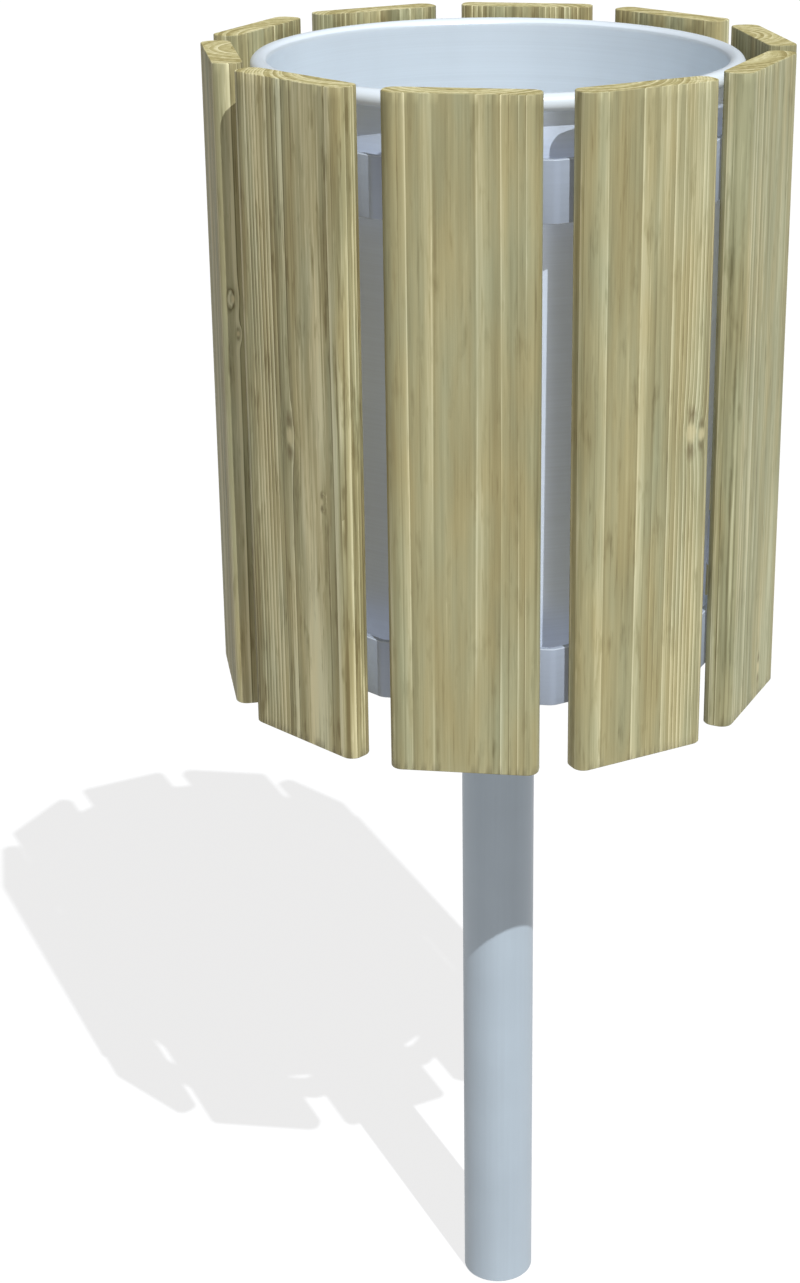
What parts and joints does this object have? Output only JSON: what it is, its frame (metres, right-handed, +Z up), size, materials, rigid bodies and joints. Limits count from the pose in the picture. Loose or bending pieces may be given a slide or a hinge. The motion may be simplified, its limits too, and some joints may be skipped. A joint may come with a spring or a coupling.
{
  "type": "litter bin",
  "caption": "Round litter bin on a single post: upright timber slats around two flat-bar hoops, with a lift-out sheet-steel liner that has a rolled rim.",
  "frame": {"origin": "centre of the post's foot at ground level", "axes": "+Z up along the post; -Y through the middle of slat_01; +X to the right as seen by someone facing slat_01"},
  "size_m": [0.4478, 0.44, 1.1],
  "materials": {
    "slat_wood": "pressure-treated pine, planed, greenish khaki with paler sawn ends",
    "frame_steel": "pale blue-grey coated steel, satin",
    "liner_steel": "pale blue-white coated sheet steel, satin",
    "fastener_steel": "bright zinc-plated steel"
  },
  "bodies": {
    "stand": {"post": "frame_steel", "post_plate": "frame_steel", "base_bar_through": "frame_steel", "base_bar_right": "frame_steel", "base_bar_left": "frame_steel", "base_bolt_1": "fastener_steel", "base_washer_1": "fastener_steel", "base_nut_1": "fastener_steel", "base_bolt_2": "fastener_steel", "base_washer_2": "fastener_steel", "base_nut_2": "fastener_steel", "base_bolt_3": "fastener_steel", "base_washer_3": "fastener_steel", "base_nut_3": "fastener_steel", "base_bolt_4": "fastener_steel", "base_washer_4": "fastener_steel", "base_nut_4": "fastener_steel", "lower_hoop": "frame_steel", "upper_hoop": "frame_steel", "slat_01": "slat_wood", "slat_02": "slat_wood", "slat_03": "slat_wood", "slat_04": "slat_wood", "slat_05": "slat_wood", "slat_06": "slat_wood", "slat_07": "slat_wood", "slat_08": "slat_wood", "slat_09": "slat_wood", "slat_10": "slat_wood", "upper_screw_01": "fastener_steel", "upper_screw_02": "fastener_steel", "upper_screw_03": "fastener_steel", "upper_screw_04": "fastener_steel", "upper_screw_05": "fastener_steel", "upper_screw_06": "fastener_steel", "upper_screw_07": "fastener_steel", "upper_screw_08": "fastener_steel", "upper_screw_09": "fastener_steel", "upper_screw_10": "fastener_steel", "lower_screw_01": "fastener_steel", "lower_screw_02": "fastener_steel", "lower_screw_03": "fastener_steel", "lower_screw_04": "fastener_steel", "lower_screw_05": "fastener_steel", "lower_screw_06": "fastener_steel", "lower_screw_07": "fastener_steel", "lower_screw_08": "fastener_steel", "lower_screw_09": "fastener_steel", "lower_screw_10": "fastener_steel"},
    "liner": {"liner_wall": "liner_steel", "liner_rim_wire": "liner_steel", "liner_floor": "liner_steel"}
  },
  "joints": [
    {"name": "liner_lift", "type": "slide", "parent": "stand", "child": "liner", "axis": [0, 0, 1], "range_m": [0, 0.46]}
  ]
}
